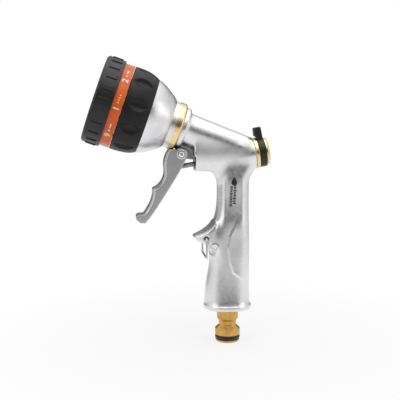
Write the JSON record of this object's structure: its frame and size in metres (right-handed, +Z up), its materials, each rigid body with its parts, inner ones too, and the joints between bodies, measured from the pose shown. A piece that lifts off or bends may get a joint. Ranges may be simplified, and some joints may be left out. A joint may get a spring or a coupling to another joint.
{
  "type": "hose spray nozzle",
  "caption": "Metal pistol hose nozzle: squeeze trigger with wire lock, rotating multi-pattern head, rear flow knob and a quick-connect nose under the handle.",
  "frame": {"origin": "centre of the quick-connect nose's lower end face", "axes": "+Z up the handle along the nose's axis, -X towards the spray head, Y across the width"},
  "size_m": [0.1252, 0.0592, 0.1918],
  "materials": {
    "cast_aluminium": "satin cast, bead-blasted",
    "bell_aluminium": "satin cast",
    "trigger_alloy": "darker satin cast",
    "polished_brass": "polished",
    "nose_brass": "machined, deep golden",
    "steel_wire": "bright drawn",
    "stem_steel": "ground",
    "rivet_steel": "bright",
    "black_rubber": "soft matte",
    "black_plastic": "fine moulded",
    "band_plastic": "orange, satin gloss",
    "face_plastic": "dark grey moulded",
    "inner_plastic": "natural acetal",
    "seal_rubber": "smooth",
    "spring_steel": "drawn wire"
  },
  "bodies": {
    "root": {"body_casting": "cast_aluminium", "inlet_nipple": "nose_brass", "nipple_o_ring": "seal_rubber", "inlet_washer": "seal_rubber", "inlet_filter": "steel_wire", "trigger_pin": "rivet_steel", "valve_seat": "polished_brass", "valve_spring": "spring_steel", "stem_seal": "seal_rubber", "stem_gland": "polished_brass", "rear_gland": "polished_brass", "spindle_seal": "seal_rubber", "brass_collar": "polished_brass", "head_bell": "bell_aluminium", "spigot_seal": "seal_rubber", "grip_sleeve": "black_rubber", "distributor": "inner_plastic", "port_seal": "seal_rubber", "detent_ball": "rivet_steel", "detent_spring": "spring_steel", "centre_screw": "rivet_steel"},
    "trigger": {"trigger": "trigger_alloy"},
    "valve_stem": {"valve_stem": "stem_steel", "poppet": "polished_brass", "poppet_seal": "seal_rubber"},
    "flow_knob": {"flow_spindle": "polished_brass", "flow_lever": "black_plastic", "flow_cap": "polished_brass"},
    "head_selector": {"front_bezel": "black_plastic", "pattern_band": "band_plastic", "port_plate": "inner_plastic", "spray_face": "face_plastic"},
    "lock_bail": {"lock_bail": "steel_wire"}
  },
  "joints": [
    {"name": "trigger_squeeze", "type": "hinge", "parent": "root", "child": "trigger", "pos_m": [-0.032, 0, 0.1281], "axis": [0, -1, 0], "range_deg": [0, 44], "stiffness_Nm_per_rad": 0.6, "springref_deg": -20.05},
    {"name": "stem_slide", "type": "slide", "parent": "root", "child": "valve_stem", "axis": [0.9863, 0, 0.165], "range_m": [0, 0.00644], "deforming": ["valve_spring"]},
    {"name": "flow_knob_turn", "type": "hinge", "parent": "root", "child": "flow_knob", "pos_m": [0.0176, 0, 0.128], "axis": [0.9863, 0, 0.165], "range_deg": [0, 90]},
    {"name": "head_turn", "type": "hinge", "parent": "root", "child": "head_selector", "pos_m": [0.0176, 0, 0.128], "axis": [-0.9444, 0, 0.3289], "continuous": true},
    {"name": "bail_swing", "type": "hinge", "parent": "root", "child": "lock_bail", "pos_m": [-0.0158, 0, 0.0723], "axis": [0, 1, 0], "range_deg": [-4, 141.4]}
  ],
  "couplings": [
    {"joint": "stem_slide", "follows": "trigger_squeeze", "m_per_rad": 0.0083902}
  ]
}
